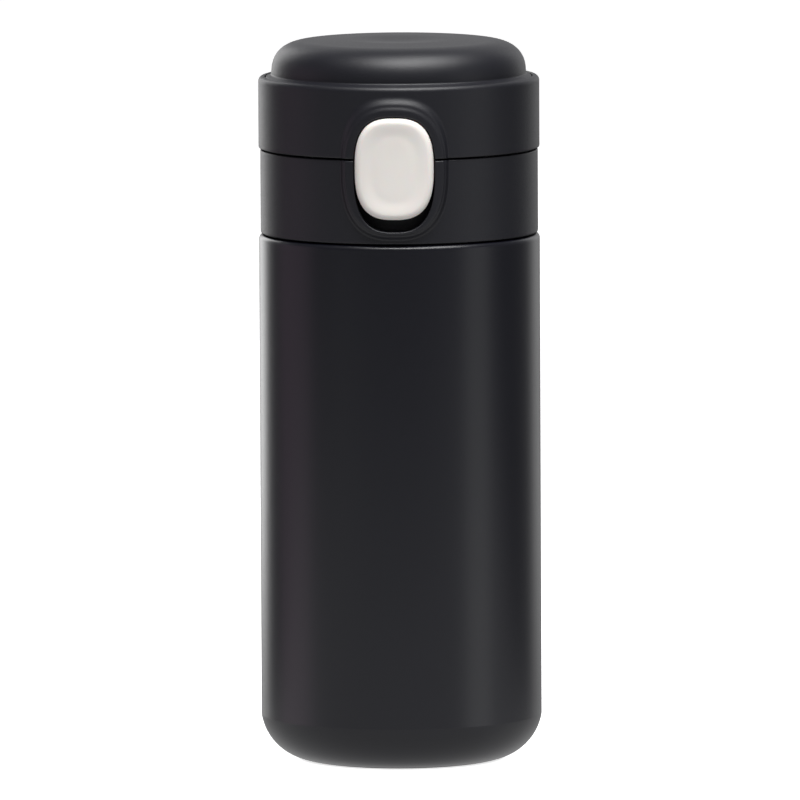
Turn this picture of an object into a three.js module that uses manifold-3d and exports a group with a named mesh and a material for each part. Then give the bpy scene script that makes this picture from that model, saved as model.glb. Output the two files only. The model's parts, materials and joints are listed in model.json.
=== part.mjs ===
// A double-walled vacuum flask with a screw-on drinking lid that springs open at a push button.
// Millimetres, +Z up. The flask stands on z = 0 and its axis is the Z axis.
// The button faces -Y and the lid's hinge is at +Y.

import * as THREE from "three";
import { mergeVertices } from "three/addons/utils/BufferGeometryUtils.js";
import Module from "manifold-3d";

const wasm = await Module();
wasm.setup();

// ---------------------------------------------------------------- driving dimensions

const SEGMENTS = 28; // facets round a full turn
const GAP = 0.3; // running clearance between pieces
const LARGE = 60; // reach of a cutting tool that passes right through

// Double-walled bottle
const BODY_R = 33;
const STEEL = 0.7; // wall of the outer shell
const SHOULDER_Z = 124.1;
const SHOULDER_FILLET = 1.2;
const NECK_R = 26;
const NECK_TOP_Z = 137;
const NECK_FILLET = 1.2;
const WELD_Z = 10.6; // where the pressed bottom is welded to the shell
const CORNER_R = 12.4; // round of the pressed bottom
const FOOT_OUT_R = 20.74; // the ring that the flask stands on
const FOOT_IN_R = 16.9;
const RECESS_R = 16.4;
const RECESS_Z = 2.2;
const DIMPLE_R = 3; // evacuation dimple in the middle of the base
const DIMPLE_Z = 3.6;
const DIMPLE_HOLE_R = 0.6;

const INNER_R = 30; // inner bottle, outside
const INNER_WALL = 0.6;
const INNER_BASE_Z = 8;
const INNER_CORNER_R = 10;
const INNER_SHOULDER_Z = 120;
const INNER_SHOULDER_R = 4;
const INNER_NECK_R = 23.8;

// Screw thread: one start, right hand
const PITCH = 4;
const THREAD_TURNS = 1.25;
const THREAD_START_Z = 128.2;
const THREAD_BEAD_R = 1; // half-round bead rolled into the steel neck
const COLLAR_BEAD_R = 0.9; // bead inside the collar, half a pitch higher
const COLLAR_BORE_R = 27.4;

// Collar
const COLLAR_R = 32.6;
const COLLAR_WALL = 2;
const COLLAR_BOTTOM_Z = 124.4;
const COLLAR_TOP_Z = 144;
const SLEEVE_R = 28.9; // outside of the threaded sleeve
const SLEEVE_BOTTOM_Z = 125;
const DECK_Z = 139.6; // top of the deck that bridges the neck's rim
const DECK_UNDER_Z = 137.6;
const DECK_HOLE_R = 22.3;
const CORE_TOP_Z = 136.4; // top of the moulded gap between sleeve and outer wall

// Spout and its silicone seal
const SPOUT_BORE_R = 11;
const SPOUT_TOP_Z = 153.5;
const SPOUT_LIP_R = 14.4;
const SPOUT_FLANGE_R = 23.9;
const SKIRT_R = 22;
const SKIRT_IN_R = 19.8;
const SKIRT_BOTTOM_Z = 128;
const SEAL_GROOVE_R = 20.9;
const SEAL_Z = 131.9;
const SEAL_HEIGHT = 2;
const SEAL_R = 23;

// Lid
const RING_R = 33;
const RING_IN_R = 30.8;
const RING_BOTTOM_Z = 144.6;
const RING_TOP_Z = 161.25;
const RING_SEAT_R = 30.2; // bore that holds the dome's skirt
const RING_SEAT_Z = 158.2;
const RIM_FILLET = 1.2;
const GROOVE_R = 31.45; // thin groove between the ring and the dome's lip
const GROOVE_Z = 160.2;
const DOME_R = 29.9;
const DOME_SKIRT_Z = 158.3;
const DOME_BASE_Z = 161.9;
const DOME_EDGE_R = 21.15; // where the rounded shoulder meets the nearly flat top
const DOME_EDGE_Z = 169.48;
const DOME_SQUARENESS = 2.38; // exponent of the shoulder's superellipse
const DOME_WALL = 1.8;
const CROWN_RISE = 0.03; // rise of the top per millimetre towards the middle
const DISH_R = 12.5; // shallow dish in the middle of the top
const DISH_DEPTH = 0.55;
const DOME_LIP_R = 31.2; // lip at the dome's foot that covers the ring's seat
const DOME_LIP_Z = 160.35;
const LINER_R = 30.5;
const LINER_Z = 156.2;
const LINER_THICK = 1.8;
const LINER_CUP_R = 17;
const LINER_CUP_Z = 152.8;
const LINER_HOLE_R = 3.9;
const STOPPER_R = 16.5;
const STOPPER_PLUG_Z = 151.3;

// Button, its window and the frame round it, which rises in two steps
const BUTTON = { halfWidth: 9.2, halfHeight: 11.87, squareness: 2.75, z: 142.17 };
const WINDOW = { halfWidth: 9.5, halfHeight: 12.3, squareness: 2.75, z: 142 }; // in the lid
const COLLAR_WINDOW = { ...WINDOW, halfHeight: 14.6 }; // runs on under the button
const FRAME = { halfWidth: 12.5, halfHeight: 16.1, squareness: 2.75, z: 142.2 };
const FRAME_R = 33.85; // outer face of the first step
const FRAME_STEP = { halfWidth: 11.7, halfHeight: 14.2, squareness: 2.25, z: 142.1 };
const FRAME_STEP_R = 34.3;
const LEVER_OVAL = { halfWidth: 8.9, halfHeight: 11.3, squareness: 2.75, z: 141.9 };
const BUTTON_FACE_Y = -35.3;
const BUTTON_BACK_Y = -31.6;
const BUTTON_EDGE = 0.8;
const POCKET_FLOOR_Y = -29.05; // in the collar
const LID_POCKET_FLOOR_Y = -27.6;
const LID_POCKET_WALL = 1.4;
const LATCH_PIVOT = { y: -29.6, z: 142 };
const LATCH_PIN_R = 1;
const LATCH_KNUCKLE_R = 1.9;
const LATCH_PIN_HALF = 11.4;
const CHEEK_IN_X = 8.9;
const CHEEK_OUT_X = 11.9;
const LEVER_HALF = 7.6;
const LEVER_FACE_Y = -31.5;
const LEVER_BACK_Y = -30.3;
const LEVER_BOTTOM_Z = 133;
const LEVER_TOP_Z = 152.4;
const SPRING_WINDOW_HALF = 3.4;
const SPRING_WINDOW_HEIGHT = 4.2;
const CATCH_TIP_Y = -28.9;
const CATCH_TOP_Z = 149;
const HOOK_HEIGHT = 2;
const HOOK_HALF = 4.2;
const CATCH_HALF = 4.5;
const BUTTON_SPRING = { coilR: LATCH_PIN_R + 0.55, wireR: 0.22, turns: 3, pitch: 1, steps: 40 };

// Rear hinge
const HINGE = { y: 33.2, z: 146.6 };
const HINGE_PIN_R = 1.25;
const HINGE_KNUCKLE_R = 2.2;
const HINGE_PIN_HALF = 9.6;
const LID_EAR = [4.6, 6.9];
const COLLAR_EAR = [7.2, 9.8];
const HINGE_BLOCK_TOP_Z = 142.6;
const HINGE_BLOCK_BOTTOM_Z = 135.5;
const HINGE_NOTCH_HALF = 10.3;
const HINGE_NOTCH_TOP_Z = 149;
const HINGE_SPRING = { coilR: HINGE_PIN_R + 0.7, wireR: 0.35, turns: 4.5, pitch: 1.3, steps: 56 };
const HINGE_SPRING_REACH = 4.2; // from the pin to the tips of the legs

// ---------------------------------------------------------------- materials

function material(color, roughness, metalness) {
  return new THREE.MeshStandardMaterial({ color, roughness, metalness });
}

const powderCoat = () => material(0x242528, 0.55, 0.2);
const steel = () => material(0xb9bbbd, 0.3, 1);
const foilMetal = () => material(0xd8d9db, 0.25, 1);
const blackPlastic = () => material(0x2a2a2d, 0.6, 0);
const innerPlastic = () => material(0x1e1e20, 0.45, 0);
const silicone = () => material(0x8f9194, 0.7, 0);
const offWhite = () => material(0xe9e4de, 0.4, 0);
const sealGlass = () => material(0x5b5348, 0.35, 0);

// ---------------------------------------------------------------- building blocks

// Points on an arc of a profile, angles in degrees from the +radius direction.
function arc(centreR, centreZ, radius, fromDeg, toDeg, steps = 4) {
  return Array.from({ length: steps + 1 }, (_, i) => {
    const angle = THREE.MathUtils.degToRad(fromDeg + ((toDeg - fromDeg) * i) / steps);
    return [centreR + radius * Math.cos(angle), centreZ + radius * Math.sin(angle)];
  });
}

// Solid of revolution about Z. An outline that doesn't touch the axis is closed into a ring.
function turned(points, segments = SEGMENTS) {
  const outline = points.map(([r, z]) => new THREE.Vector2(r, z));
  if (THREE.ShapeUtils.area(outline) < 0) outline.reverse();
  if (outline[0].x > 0) outline.push(outline[0].clone());
  return new THREE.LatheGeometry(outline, segments).rotateX(Math.PI / 2);
}

// Box from its lowest to its highest corner.
function box(x0, y0, z0, x1, y1, z1) {
  const geometry = new THREE.BoxGeometry(x1 - x0, y1 - y0, z1 - z0);
  return geometry.translate((x0 + x1) / 2, (y0 + y1) / 2, (z0 + z1) / 2);
}

// Round bar along X.
function barX(y, z, radius, x0, x1, segments = 16) {
  const geometry = new THREE.CylinderGeometry(radius, radius, x1 - x0, segments);
  return geometry.rotateZ(Math.PI / 2).translate((x0 + x1) / 2, y, z);
}

// Superellipse in the XZ plane, drawn as a shape.
function oval({ halfWidth, halfHeight, squareness, z }, steps = 28) {
  const power = 2 / squareness;
  const bend = (value) => Math.sign(value) * Math.abs(value) ** power;
  const points = Array.from({ length: steps }, (_, i) => {
    const angle = (i / steps) * Math.PI * 2;
    return new THREE.Vector2(halfWidth * bend(Math.cos(angle)), z + halfHeight * bend(Math.sin(angle)));
  });
  return new THREE.Shape(points);
}

// Prism of an XZ shape between two depths along Y.
function prismY(shape, y0, y1, options = {}) {
  const settings = { depth: y1 - y0, bevelEnabled: false, ...options };
  return new THREE.ExtrudeGeometry(shape, settings).rotateX(Math.PI / 2).translate(0, y1, 0);
}

// Plate of a YZ outline between two X positions.
function plateX(outline, x0, x1) {
  const shape = new THREE.Shape(outline.map(([y, z]) => new THREE.Vector2(y, z)));
  const geometry = new THREE.ExtrudeGeometry(shape, { depth: x1 - x0, bevelEnabled: false });
  // The shape's plane turns from XY to YZ, and its depth from Z to X.
  const turn = new THREE.Matrix4().set(0, 0, 1, x0, 1, 0, 0, 0, 0, 1, 0, 0, 0, 0, 0, 1);
  return geometry.applyMatrix4(turn);
}

// Round wire along a curve.
function wire(curve, radius, steps, sides = 6) {
  const section = new THREE.Shape().absarc(0, 0, radius, 0, Math.PI * 2);
  return new THREE.ExtrudeGeometry(section, { steps, curveSegments: sides, extrudePath: curve });
}

// Turns a geometry into a solid that can be cut and joined.
function solid(geometry) {
  const bare = geometry.clone();
  bare.deleteAttribute("normal");
  bare.deleteAttribute("uv");
  const merged = mergeVertices(bare, 1e-4);
  const { array } = merged.index;
  const triangles = [];
  for (let i = 0; i < array.length; i += 3) {
    const [a, b, c] = [array[i], array[i + 1], array[i + 2]];
    if (a !== b && b !== c && c !== a) triangles.push(a, b, c);
  }
  const vertProperties = new Float32Array(merged.attributes.position.array);
  const triVerts = new Uint32Array(triangles);
  return new wasm.Manifold(new wasm.Mesh({ numProp: 3, vertProperties, triVerts }));
}

// Named mesh from a geometry or from a cut solid.
function piece(name, shape, look) {
  if (shape instanceof THREE.BufferGeometry) shape = solid(shape);
  const { vertProperties, triVerts } = shape.getMesh();
  const geometry = new THREE.BufferGeometry();
  geometry.setAttribute("position", new THREE.BufferAttribute(vertProperties, 3));
  geometry.setIndex(new THREE.BufferAttribute(triVerts, 1));
  geometry.computeVertexNormals();
  const mesh = new THREE.Mesh(geometry, look);
  mesh.name = name;
  return mesh;
}

// Half-buried bead that winds round the axis as a right-hand thread.
function threadBead(radius, startZ, beadR) {
  class Helix extends THREE.Curve {
    getPoint(t, target = new THREE.Vector3()) {
      const angle = t * THREAD_TURNS * Math.PI * 2;
      const z = startZ + t * THREAD_TURNS * PITCH;
      return target.set(radius * Math.cos(angle), radius * Math.sin(angle), z);
    }
  }
  return solid(wire(new Helix(), beadR, 24, 3));
}

// Torsion spring: a coil about a bar along X, with a straight leg at each end.
function torsionSpring({ y, z }, { coilR, wireR, turns, pitch, steps }, legs) {
  const points = [];
  const start = -Math.PI / 2;
  const perTurn = 10;
  const count = Math.round(turns * perTurn);
  const half = (turns * pitch) / 2;
  points.push(new THREE.Vector3(-half, legs[0][0], legs[0][1]));
  for (let i = 0; i <= count; i++) {
    const angle = start + (i / perTurn) * Math.PI * 2;
    const x = -half + (i / count) * 2 * half;
    points.push(new THREE.Vector3(x, y + coilR * Math.cos(angle), z + coilR * Math.sin(angle)));
  }
  points.push(new THREE.Vector3(half, legs[1][0], legs[1][1]));
  const curve = new THREE.CatmullRomCurve3(points, false, "centripetal");
  return wire(curve, wireR, steps, 3);
}

// ---------------------------------------------------------------- bottle

function outerShell() {
  const innerR = BODY_R - STEEL;
  const edgeR = BODY_R - SHOULDER_FILLET;
  const edgeZ = SHOULDER_Z - SHOULDER_FILLET;
  const rootR = NECK_R + NECK_FILLET;
  const rootZ = SHOULDER_Z + NECK_FILLET;
  const wall = turned([
    [innerR, WELD_Z],
    [BODY_R, WELD_Z],
    ...arc(edgeR, edgeZ, SHOULDER_FILLET, 0, 90, 3),
    ...arc(rootR, rootZ, NECK_FILLET, 270, 180, 3),
    [NECK_R, NECK_TOP_Z],
    [NECK_R - STEEL, NECK_TOP_Z],
    ...arc(rootR, rootZ, NECK_FILLET + STEEL, 180, 270, 3),
    ...arc(edgeR, edgeZ, SHOULDER_FILLET - STEEL, 90, 0, 2),
  ]);
  const bead = threadBead(NECK_R, THREAD_START_Z, THREAD_BEAD_R);
  // The part of the bead that would stand inside the neck is cut away.
  const neckBore = solid(turned([[0, SHOULDER_Z], [NECK_R - STEEL / 2, SHOULDER_Z],
    [NECK_R - STEEL / 2, NECK_TOP_Z], [0, NECK_TOP_Z]]));
  return solid(wall).add(bead.subtract(neckBore));
}

function outerBottom() {
  const centreZ = CORNER_R;
  const topZ = WELD_Z - 0.05; // hairline of the weld
  const rimDeg = (radius) => THREE.MathUtils.radToDeg(Math.asin((topZ - centreZ) / radius));
  const inR = CORNER_R - STEEL;
  return turned([
    ...arc(FOOT_OUT_R, centreZ, CORNER_R, rimDeg(CORNER_R), -90, 6),
    [FOOT_IN_R, 0],
    [RECESS_R, FOOT_IN_R - RECESS_R],
    [RECESS_R, RECESS_Z],
    [DIMPLE_R, RECESS_Z],
    [DIMPLE_R - 0.6, DIMPLE_Z],
    [DIMPLE_HOLE_R, DIMPLE_Z],
    [DIMPLE_HOLE_R, DIMPLE_Z + STEEL],
    [DIMPLE_R - 0.1, DIMPLE_Z + STEEL],
    [DIMPLE_R + 0.5, RECESS_Z + STEEL],
    [RECESS_R + STEEL, RECESS_Z + STEEL],
    [RECESS_R + STEEL, STEEL],
    ...arc(FOOT_OUT_R, centreZ, inR, -90, rimDeg(inR), 4),
  ]);
}

function baseDisc() {
  const [r, low, high] = [RECESS_R - GAP, 1.3, 1.9];
  return turned([[0, low], [r - 0.2, low], [r, low + 0.2], [r, high], [0, high]]);
}

function sealBead() {
  const [lensR, top, stemR] = [1.6, DIMPLE_Z - 0.1, DIMPLE_HOLE_R - 0.2];
  return turned([
    [0, top - 1], [lensR - 0.3, top - 0.8], [lensR, top - 0.3], [lensR - 0.2, top],
    [stemR, top], [stemR, top + 1], [0, top + 1.1],
  ], 16);
}

function innerBottle() {
  const inR = INNER_R - INNER_WALL;
  const cornerCentreR = INNER_R - INNER_CORNER_R;
  const cornerCentreZ = INNER_BASE_Z + INNER_CORNER_R;
  const shoulderCentreR = INNER_R - INNER_SHOULDER_R;
  const shoulderCentreZ = INNER_SHOULDER_Z - INNER_SHOULDER_R;
  const rootRadius = shoulderCentreR - INNER_NECK_R;
  const rootZ = INNER_SHOULDER_Z + rootRadius;
  const rimR = NECK_R - STEEL - GAP;
  const neckInR = INNER_NECK_R - INNER_WALL;
  return turned([
    [0, INNER_BASE_Z],
    ...arc(cornerCentreR, cornerCentreZ, INNER_CORNER_R, -90, 0, 4),
    ...arc(shoulderCentreR, shoulderCentreZ, INNER_SHOULDER_R, 0, 90, 3),
    ...arc(shoulderCentreR, rootZ, rootRadius, 270, 180, 3).slice(1),
    [INNER_NECK_R, NECK_TOP_Z - 1.2],
    [rimR, NECK_TOP_Z - 0.4],
    [rimR, NECK_TOP_Z],
    [neckInR + 0.7, NECK_TOP_Z],
    [neckInR, NECK_TOP_Z - 0.7],
    ...arc(shoulderCentreR, rootZ, rootRadius + INNER_WALL, 180, 270, 3),
    ...arc(shoulderCentreR, shoulderCentreZ, INNER_SHOULDER_R - INNER_WALL, 90, 0, 3).slice(1),
    [inR, cornerCentreZ],
    ...arc(cornerCentreR, cornerCentreZ, INNER_CORNER_R - INNER_WALL, 0, -90, 4).slice(1),
    [0, INNER_BASE_Z + INNER_WALL],
  ]);
}

function heatFoil() {
  const [inR, outR] = [INNER_R + GAP, INNER_R + 2 * GAP];
  const [low, high] = [INNER_BASE_Z + INNER_CORNER_R + 2, INNER_SHOULDER_Z - INNER_SHOULDER_R - 1];
  return turned([[inR, low], [outR, low], [outR, high], [inR, high]]);
}

const GETTER = { x: 10.5, r: 2.6, z: RECESS_Z + STEEL + 0.5, height: 1.6 };

function getterPellet() {
  const { x, r, z, height } = GETTER;
  return turned([[0, z], [r, z], [r, z + height], [0, z + height]], 20).translate(x, 0, 0);
}

function getterClip() {
  const { x, r, z } = GETTER;
  const [inR, outR, floorZ, baseZ] = [r + 0.3, r + 0.6, z - 0.1, z - 0.4];
  return turned([
    [0, baseZ], [outR, baseZ], [outR, z + 1], [inR, z + 1], [inR, floorZ], [0, floorZ],
  ], 20).translate(x, 0, 0);
}

// ---------------------------------------------------------------- lid base

// Raised patch round the button between two heights, curved like the lid. The window is cut in it later.
function buttonFrame(lowZ, highZ) {
  const inR = COLLAR_R - COLLAR_WALL * 0.7;
  const step = (shape, outR) => {
    const band = turned([[inR, lowZ], [outR, lowZ], [outR, highZ], [inR, highZ]]);
    return solid(prismY(oval(shape), -LARGE, -COLLAR_R * 0.8)).intersect(solid(band));
  };
  return step(FRAME, FRAME_R).add(step(FRAME_STEP, FRAME_STEP_R));
}

// Hinge ear: a round knuckle about the pin, joined by a web to the piece that carries it.
function hingeEar([x0, x1], web) {
  const knuckle = barX(HINGE.y, HINGE.z, HINGE_KNUCKLE_R, x0, x1);
  return solid(knuckle).add(solid(plateX(web, x0, x1)));
}

function bothSides([x0, x1], build) {
  return build([x0, x1]).add(build([-x1, -x0]));
}

function collar() {
  const wallIn = COLLAR_R - COLLAR_WALL;
  const edge = 0.4;
  const moulding = turned([
    [wallIn, COLLAR_BOTTOM_Z],
    [COLLAR_R - edge, COLLAR_BOTTOM_Z],
    [COLLAR_R, COLLAR_BOTTOM_Z + edge],
    [COLLAR_R, COLLAR_TOP_Z - edge],
    [COLLAR_R - edge, COLLAR_TOP_Z],
    [wallIn, COLLAR_TOP_Z],
    [wallIn, DECK_Z],
    [DECK_HOLE_R, DECK_Z],
    [DECK_HOLE_R, DECK_UNDER_Z],
    [COLLAR_BORE_R, DECK_UNDER_Z],
    [COLLAR_BORE_R, SLEEVE_BOTTOM_Z],
    [SLEEVE_R, SLEEVE_BOTTOM_Z],
    [SLEEVE_R, CORE_TOP_Z],
    [wallIn, CORE_TOP_Z],
  ]);
  const sleeve = solid(turned([
    [COLLAR_BORE_R + 0.5, SLEEVE_BOTTOM_Z], [SLEEVE_R + 3, SLEEVE_BOTTOM_Z],
    [SLEEVE_R + 3, DECK_Z], [COLLAR_BORE_R + 0.5, DECK_Z],
  ]));
  const bead = threadBead(COLLAR_BORE_R, THREAD_START_Z + PITCH / 2, COLLAR_BEAD_R);
  const pocket = solid(prismY(oval(COLLAR_WINDOW), -LARGE, POCKET_FLOOR_Y));

  // Cheeks that hold the latch pin stand on the deck at both sides of the window.
  const { y, z } = LATCH_PIVOT;
  const cheekDepth = 1.5;
  const cheeks = bothSides([CHEEK_IN_X, CHEEK_OUT_X], ([x0, x1]) =>
    solid(box(x0, y - cheekDepth, DECK_Z - 0.5, x1, y + cheekDepth, COLLAR_TOP_Z)));
  const pinHole = solid(barX(y, z, LATCH_PIN_R + GAP, -LATCH_PIN_HALF - GAP, LATCH_PIN_HALF + GAP));

  // Hinge block at the back, with an ear at each end.
  const wallY = COLLAR_R - COLLAR_WALL + 0.6;
  const blockBackY = HINGE.y + 1.4;
  const block = solid(plateX([
    [wallY - 1, HINGE_BLOCK_BOTTOM_Z + 1], [wallY, HINGE_BLOCK_BOTTOM_Z],
    [blockBackY, HINGE_BLOCK_BOTTOM_Z + 3], [blockBackY, HINGE_BLOCK_TOP_Z],
    [wallY - 1, HINGE_BLOCK_TOP_Z],
  ], -COLLAR_EAR[1], COLLAR_EAR[1]));
  const ears = bothSides(COLLAR_EAR, (span) => hingeEar(span, [
    [HINGE.y - HINGE_KNUCKLE_R, HINGE_BLOCK_TOP_Z - 1],
    [blockBackY, HINGE_BLOCK_TOP_Z - 1],
    [HINGE.y + HINGE_KNUCKLE_R, HINGE.z],
    [HINGE.y - HINGE_KNUCKLE_R, HINGE.z],
  ]));
  const hingeHole = solid(barX(HINGE.y, HINGE.z, HINGE_PIN_R + GAP, -LARGE, LARGE));

  return solid(moulding)
    .add(bead.subtract(sleeve))
    .add(buttonFrame(COLLAR_BOTTOM_Z, COLLAR_TOP_Z))
    .subtract(pocket)
    .add(cheeks)
    .subtract(pinHole)
    .add(block)
    .add(ears)
    .subtract(hingeHole);
}

function spout() {
  const lipRound = 1.3;
  const lipZ = SPOUT_TOP_Z - lipRound;
  const halfGroove = SEAL_HEIGHT / 2 + GAP;
  const flangeZ = DECK_Z + GAP;
  return turned([
    [SKIRT_IN_R, SKIRT_BOTTOM_Z],
    [SKIRT_R - 0.4, SKIRT_BOTTOM_Z],
    [SKIRT_R, SKIRT_BOTTOM_Z + 0.6],
    [SKIRT_R, SEAL_Z - halfGroove],
    [SEAL_GROOVE_R, SEAL_Z - halfGroove],
    [SEAL_GROOVE_R, SEAL_Z + halfGroove],
    [SKIRT_R, SEAL_Z + halfGroove],
    [SKIRT_R, DECK_UNDER_Z - 1.4],
    [SKIRT_R + 0.5, DECK_UNDER_Z - 0.8],
    [SKIRT_R + 0.5, DECK_UNDER_Z - 0.4],
    [SKIRT_R, DECK_UNDER_Z - GAP],
    [SKIRT_R, flangeZ],
    [SPOUT_FLANGE_R, flangeZ],
    [SPOUT_FLANGE_R, flangeZ + 1.5],
    [SPOUT_FLANGE_R - 3.4, flangeZ + 2],
    [SPOUT_LIP_R + 0.2, flangeZ + 6.6],
    ...arc(SPOUT_LIP_R - lipRound, lipZ, lipRound, 0, 90, 3),
    ...arc(SPOUT_BORE_R + lipRound, lipZ, lipRound, 90, 180, 3),
    [SPOUT_BORE_R, SPOUT_TOP_Z - 4],
    [SKIRT_IN_R - 0.8, DECK_Z],
    [SKIRT_IN_R, DECK_UNDER_Z],
  ]);
}

function bottleSeal() {
  const [low, high, inR] = [SEAL_Z - SEAL_HEIGHT / 2, SEAL_Z + SEAL_HEIGHT / 2, SEAL_GROOVE_R + GAP];
  return turned([
    [inR, low], [SEAL_R - 0.6, low], [SEAL_R, low + 0.4], [SEAL_R - 0.4, SEAL_Z],
    [SEAL_R, high - 0.4], [SEAL_R - 0.6, high], [inR, high],
  ]);
}

function latchPin() {
  return barX(LATCH_PIVOT.y, LATCH_PIVOT.z, LATCH_PIN_R, -LATCH_PIN_HALF, LATCH_PIN_HALF);
}

function hingePin() {
  return barX(HINGE.y, HINGE.z, HINGE_PIN_R, -HINGE_PIN_HALF, HINGE_PIN_HALF);
}

function hingeSpring() {
  const legY = HINGE.y - HINGE_SPRING_REACH;
  const legZ = HINGE_SPRING.coilR - 0.1;
  return torsionSpring(HINGE, HINGE_SPRING, [[legY, HINGE.z - legZ], [legY, HINGE.z + legZ]]);
}

function buttonSpring() {
  const { y, z } = LATCH_PIVOT;
  const wallLeg = [y + 3.6, z - BUTTON_SPRING.coilR + 0.1];
  const leverLeg = [LEVER_BACK_Y + 0.4, z - 6];
  return torsionSpring(LATCH_PIVOT, BUTTON_SPRING, [wallLeg, leverLeg]);
}

// ---------------------------------------------------------------- latch

function button() {
  const bevel = {
    bevelEnabled: true, bevelThickness: BUTTON_EDGE, bevelSize: BUTTON_EDGE,
    bevelOffset: -BUTTON_EDGE, bevelSegments: 2,
  };
  const [y0, y1] = [BUTTON_FACE_Y + BUTTON_EDGE, BUTTON_BACK_Y - BUTTON_EDGE];
  return prismY(oval(BUTTON), y0, y1, bevel);
}

function latchLever() {
  const { y, z } = LATCH_PIVOT;
  const plate = solid(box(-LEVER_HALF, LEVER_FACE_Y, LEVER_BOTTOM_Z, LEVER_HALF, LEVER_BACK_Y, LEVER_TOP_Z))
    .intersect(solid(prismY(oval(LEVER_OVAL), -LARGE, 0)));
  const knuckle = solid(barX(y, z, LATCH_KNUCKLE_R, -LEVER_HALF, LEVER_HALF));
  const springSpace = solid(box(-SPRING_WINDOW_HALF, -LARGE, z - SPRING_WINDOW_HEIGHT / 2,
    SPRING_WINDOW_HALF, LARGE, z + SPRING_WINDOW_HEIGHT / 2));
  const hookZ = CATCH_TOP_Z + 0.4;
  const hook = solid(box(-HOOK_HALF, LEVER_FACE_Y + 0.5, hookZ,
    HOOK_HALF, CATCH_TIP_Y - GAP, hookZ + HOOK_HEIGHT));
  const pinHole = solid(barX(y, z, LATCH_PIN_R + GAP, -LARGE, LARGE));
  return plate.add(knuckle).subtract(springSpace).add(hook).subtract(pinHole);
}

// ---------------------------------------------------------------- lid

function lidRing() {
  const edge = 0.3;
  const ring = turned([
    [RING_IN_R + edge, RING_BOTTOM_Z],
    [RING_R - edge, RING_BOTTOM_Z],
    [RING_R, RING_BOTTOM_Z + edge],
    ...arc(RING_R - RIM_FILLET, RING_TOP_Z - RIM_FILLET, RIM_FILLET, 0, 90, 3),
    [GROOVE_R + 0.15, RING_TOP_Z],
    [GROOVE_R, RING_TOP_Z - 0.15],
    [GROOVE_R, GROOVE_Z],
    [RING_SEAT_R, GROOVE_Z],
    [RING_SEAT_R, RING_SEAT_Z],
    [RING_IN_R, RING_SEAT_Z],
    [RING_IN_R, RING_BOTTOM_Z + edge],
  ]);
  const window = (floorY) => solid(prismY(oval(WINDOW), -LARGE, floorY));

  // A box behind the window closes the lid off from the button's pocket.
  const wall = LID_POCKET_WALL;
  const pocketHalf = WINDOW.halfWidth + wall;
  const pocketTop = WINDOW.z + WINDOW.halfHeight + wall;
  const insideLid = solid(turned([[0, RING_BOTTOM_Z], [RING_R - 1, RING_BOTTOM_Z],
    [RING_R - 1, RING_TOP_Z - 1], [0, RING_TOP_Z - 1]]));
  const pocketBox = solid(box(-pocketHalf, -LARGE, RING_BOTTOM_Z + 0.2,
    pocketHalf, LID_POCKET_FLOOR_Y + wall, pocketTop));
  const pocket = pocketBox.intersect(insideLid).subtract(window(LID_POCKET_FLOOR_Y));
  const catchLip = solid(box(-CATCH_HALF, CATCH_TIP_Y, CATCH_TOP_Z - 2,
    CATCH_HALF, LID_POCKET_FLOOR_Y + 0.2, CATCH_TOP_Z));

  const notch = solid(box(-HINGE_NOTCH_HALF, 0, 0, HINGE_NOTCH_HALF, LARGE, HINGE_NOTCH_TOP_Z));
  const ears = bothSides(LID_EAR, (span) => hingeEar(span, [
    [HINGE.y - HINGE_KNUCKLE_R, HINGE.z],
    [HINGE.y + HINGE_KNUCKLE_R, HINGE.z],
    [RING_R + 0.5, HINGE_NOTCH_TOP_Z + 3.5],
    [RING_IN_R + 0.4, HINGE_NOTCH_TOP_Z + 3.5],
  ]));
  const hingeHole = solid(barX(HINGE.y, HINGE.z, HINGE_PIN_R + GAP, -LARGE, LARGE));

  return solid(ring)
    .add(buttonFrame(RING_BOTTOM_Z, RING_TOP_Z - 1))
    .subtract(window(-BODY_R / 2))
    .subtract(notch)
    .add(pocket)
    .add(catchLip)
    .add(ears)
    .subtract(hingeHole);
}

// Rounded shoulder of the dome, from its foot to where the top begins.
function domeShoulder(radialReach, height, steps) {
  const power = 2 / DOME_SQUARENESS;
  return Array.from({ length: steps + 1 }, (_, i) => {
    const angle = ((i / steps) * Math.PI) / 2;
    const r = DOME_EDGE_R + radialReach * Math.max(0, Math.cos(angle)) ** power;
    return [r, DOME_BASE_Z + height * Math.sin(angle) ** power];
  });
}

function lidDome() {
  const reach = DOME_R - DOME_EDGE_R;
  const height = DOME_EDGE_Z - DOME_BASE_Z;
  const crownZ = DOME_EDGE_Z + CROWN_RISE * (DOME_EDGE_R - DISH_R);
  const dishSteps = 3;
  const dish = Array.from({ length: dishSteps + 1 }, (_, i) => {
    const share = 1 - i / dishSteps;
    return [DISH_R * share, crownZ - (DISH_DEPTH * (1 + Math.cos(Math.PI * share))) / 2];
  });
  return turned([
    [DOME_R - DOME_WALL, DOME_SKIRT_Z],
    [DOME_R, DOME_SKIRT_Z],
    [DOME_R, DOME_LIP_Z],
    [DOME_LIP_R, DOME_LIP_Z],
    [DOME_LIP_R, DOME_LIP_Z + 0.6],
    [DOME_LIP_R - 0.2, DOME_LIP_Z + 0.8],
    [DOME_R + 0.1, DOME_BASE_Z - 0.3],
    ...domeShoulder(reach, height, 7),
    ...dish,
    [0, crownZ - DISH_DEPTH - DOME_WALL],
    [DISH_R, crownZ - DISH_DEPTH - DOME_WALL],
    ...domeShoulder(reach - DOME_WALL, height - DOME_WALL, 4).reverse(),
  ]);
}

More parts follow.
